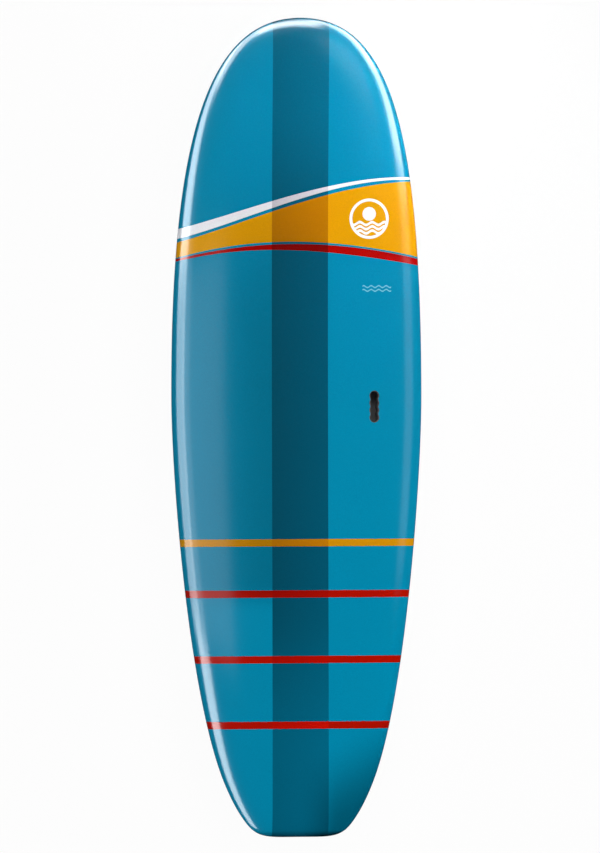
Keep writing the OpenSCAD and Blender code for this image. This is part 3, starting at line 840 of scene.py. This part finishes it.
def build_camera():
    data = bpy.data.cameras.new("camera")
    data.sensor_width = SENSOR
    data.lens = SENSOR * CAMERA_DISTANCE / FRAME_HEIGHT
    data.clip_start, data.clip_end = CLIP
    camera = bpy.data.objects.new("camera", data)
    bpy.context.scene.collection.objects.link(camera)
    away = Vector((-math.sin(LEAN), 0, math.cos(LEAN)))
    ahead = Vector((0, 1, 0))
    right = ahead.cross(away) * math.cos(ROLL) - ahead * math.sin(ROLL)
    up = away.cross(right)
    camera.matrix_world = Matrix.Translation(TARGET + away * CAMERA_DISTANCE) @ Matrix(
        (right, up, away)).transposed().to_4x4()
    bpy.context.scene.camera = camera


POWER_PER_RADIANCE = 4


def panel(name, anchor, azimuth, tilt, distance, size, radiance, shine):
    """A soft box seen from anchor at an azimuth from the nose and a tilt from the zenith.

    Its size is (extent up and down the tilt, extent level). With shine it shows only in the
    gloss, and without it only lights the paint.
    """
    a, t = math.radians(azimuth), math.radians(tilt)
    back = Vector((math.sin(a) * math.sin(t), math.cos(a) * math.sin(t), math.cos(t)))
    level = Vector((math.cos(a), -math.sin(a), 0))
    across = level.cross(back)
    data = bpy.data.lights.new(name, "AREA")
    data.shape = "RECTANGLE"
    data.size, data.size_y = size
    data.energy = POWER_PER_RADIANCE * radiance * size[0] * size[1]
    light = bpy.data.objects.new(name, data)
    bpy.context.scene.collection.objects.link(light)
    turn = Matrix((across, level, back)).transposed()
    if turn.determinant() < 0:
        turn = Matrix((-across, level, back)).transposed()
    light.matrix_world = Matrix.Translation(Vector(anchor) + back * distance) @ turn.to_4x4()
    light.visible_camera = False
    light.visible_diffuse = not shine
    light.visible_glossy = shine
    data.cycles.use_multiple_importance_sampling = shine


# Name, azimuth, tilt, distance, anchor along the board, size and radiance
SHINE_PANELS = (
    ("port_strip", -90, 58.5, 3.0, 1.25, (1.8, 4.5), 5.2),
    ("port_strip_nose", -90, 56.0, 3.0, 2.2, (1.8, 3.4), 6.0),
    ("port_strip_tail", -90, 44.0, 3.0, -2.6, (1.6, 3.3), 9.0),
    ("starboard_strip", 90, 53.0, 3.0, 1.6, (0.9, 4.4), 0.8),
    ("starboard_strip_mid", 90, 53.0, 3.0, 1.95, (0.9, 3.7), 2.0),
    ("starboard_strip_fore", 90, 53.0, 3.0, 2.1, (0.9, 3.3), 3.0),
    ("starboard_strip_nose", 90, 56.0, 3.0, 2.3, (1.1, 3.0), 13.0),
    ("nose_front", 0, 50, 3.0, 1.15, (1.3, 2.6), 3.5),
    ("nose_front_high", 5, 31, 3.0, 1.15, (0.9, 2.0), 15.0),
    ("nose_front_top", 8, 20, 3.0, 1.15, (0.5, 1.6), 16.0),
    ("nose_port", -45, 43, 3.0, 1.10, (1.9, 2.2), 10.0),
    ("nose_starboard", 50, 50, 3.0, 1.10, (1.4, 2.4), 14.0),
    ("nose_haze", 90, 22.0, 4.0, 1.05, (0.9, 0.6), 1.6),
    ("port_haze", -90, 26.5, 1.65, -0.16, (1.45, 1.22), 0.95),
    ("port_haze_edge", -90, 37.0, 4.0, -0.27, (1.2, 1.6), 1.0),
)
FILL_PANELS = (
    ("sky", 0, 0, 6.0, 0.0, (9.0, 9.0), 1.83),
    ("starboard_fill", 90, 76, 4.0, 0.0, (1.0, 8.0), 1.9),
    ("nose_fill", 68, 66, 0.8, 0.98, (0.45, 0.8), 4.0),
)
DECK_LEVEL = 0.26


def build_lights():
    for shine, rows in ((True, SHINE_PANELS), (False, FILL_PANELS)):
        for name, azimuth, tilt, distance, y, size, radiance in rows:
            panel(name, (0, y, DECK_LEVEL), azimuth, tilt, distance, size, radiance, shine)


# The stage: half the floor's side, the dome's radius, how bright each is and the floor's grey
FLOOR_HALF = 70.0
DOME_R = FLOOR_HALF * 1.1
FLOOR_GLOW, DOME_GLOW = 0.945, 0.97
FLOOR_GREY = (0.04, 0.04, 0.04, 1)


def glow_material(name, glow):
    """Pale paper lit from within: the material, its tree, the glow and the output it feeds."""
    material = bpy.data.materials.new(name)
    material.use_nodes = True
    tree = material.node_tree
    tree.nodes.clear()
    emission = tree.nodes.new("ShaderNodeEmission")
    emission.inputs["Strength"].default_value = glow
    surface = tree.nodes.new("ShaderNodeOutputMaterial").inputs["Surface"]
    tree.links.new(emission.outputs[0], surface)
    return material, tree, emission, surface


def floor_material():
    """Glowing paper that also reflects a little light, and is clear from below."""
    material, tree, emission, surface = glow_material("floor_paper", FLOOR_GLOW)
    diffuse = tree.nodes.new("ShaderNodeBsdfDiffuse")
    diffuse.inputs["Color"].default_value = FLOOR_GREY
    total = tree.nodes.new("ShaderNodeAddShader")
    clear = tree.nodes.new("ShaderNodeBsdfTransparent")
    sides = tree.nodes.new("ShaderNodeNewGeometry")
    choose = tree.nodes.new("ShaderNodeMixShader")
    for output, socket in (
        (diffuse.outputs[0], total.inputs[0]),
        (emission.outputs[0], total.inputs[1]),
        (sides.outputs["Backfacing"], choose.inputs[0]),
        (total.outputs[0], choose.inputs[1]),
        (clear.outputs[0], choose.inputs[2]),
        (choose.outputs[0], surface),
    ):
        tree.links.new(output, socket)
    return material


def build_stage():
    """A pale floor under the board, and a pale dome far away all round it."""
    mesh = bpy.data.meshes.new("floor")
    signs = ((-1, -1), (1, -1), (1, 1), (-1, 1))
    corners = [(x * FLOOR_HALF, y * FLOOR_HALF, 0) for x, y in signs]
    mesh.from_pydata(corners, [], [(0, 1, 2, 3)])
    mesh.materials.append(floor_material())
    floor = bpy.data.objects.new("floor", mesh)
    dome_mesh = bpy.data.meshes.new("dome")
    work = bmesh.new()
    bmesh.ops.create_icosphere(work, subdivisions=4, radius=DOME_R)
    work.to_mesh(dome_mesh)
    work.free()
    dome_mesh.materials.append(glow_material("dome_paper", DOME_GLOW)[0])
    dome = bpy.data.objects.new("dome", dome_mesh)
    dome.visible_diffuse = False
    for item in (floor, dome):
        bpy.context.scene.collection.objects.link(item)
        item.visible_glossy = False


def set_colours():
    scene = bpy.context.scene
    scene.view_settings.view_transform = "Standard"
    world = bpy.data.worlds.new("dark")
    world.use_nodes = True
    world.node_tree.nodes["Background"].inputs["Strength"].default_value = 0.0
    scene.world = world


build_camera()
set_colours()
build_lights()
build_stage()
looks = plain_materials()
dress_cad_nodes(looks)
build_deck()
build_bottom()
build_centre_fin(looks["fin_black"])
for side_hand in (-1, 1):
    build_side_fin(side_hand, looks["fin_black"])
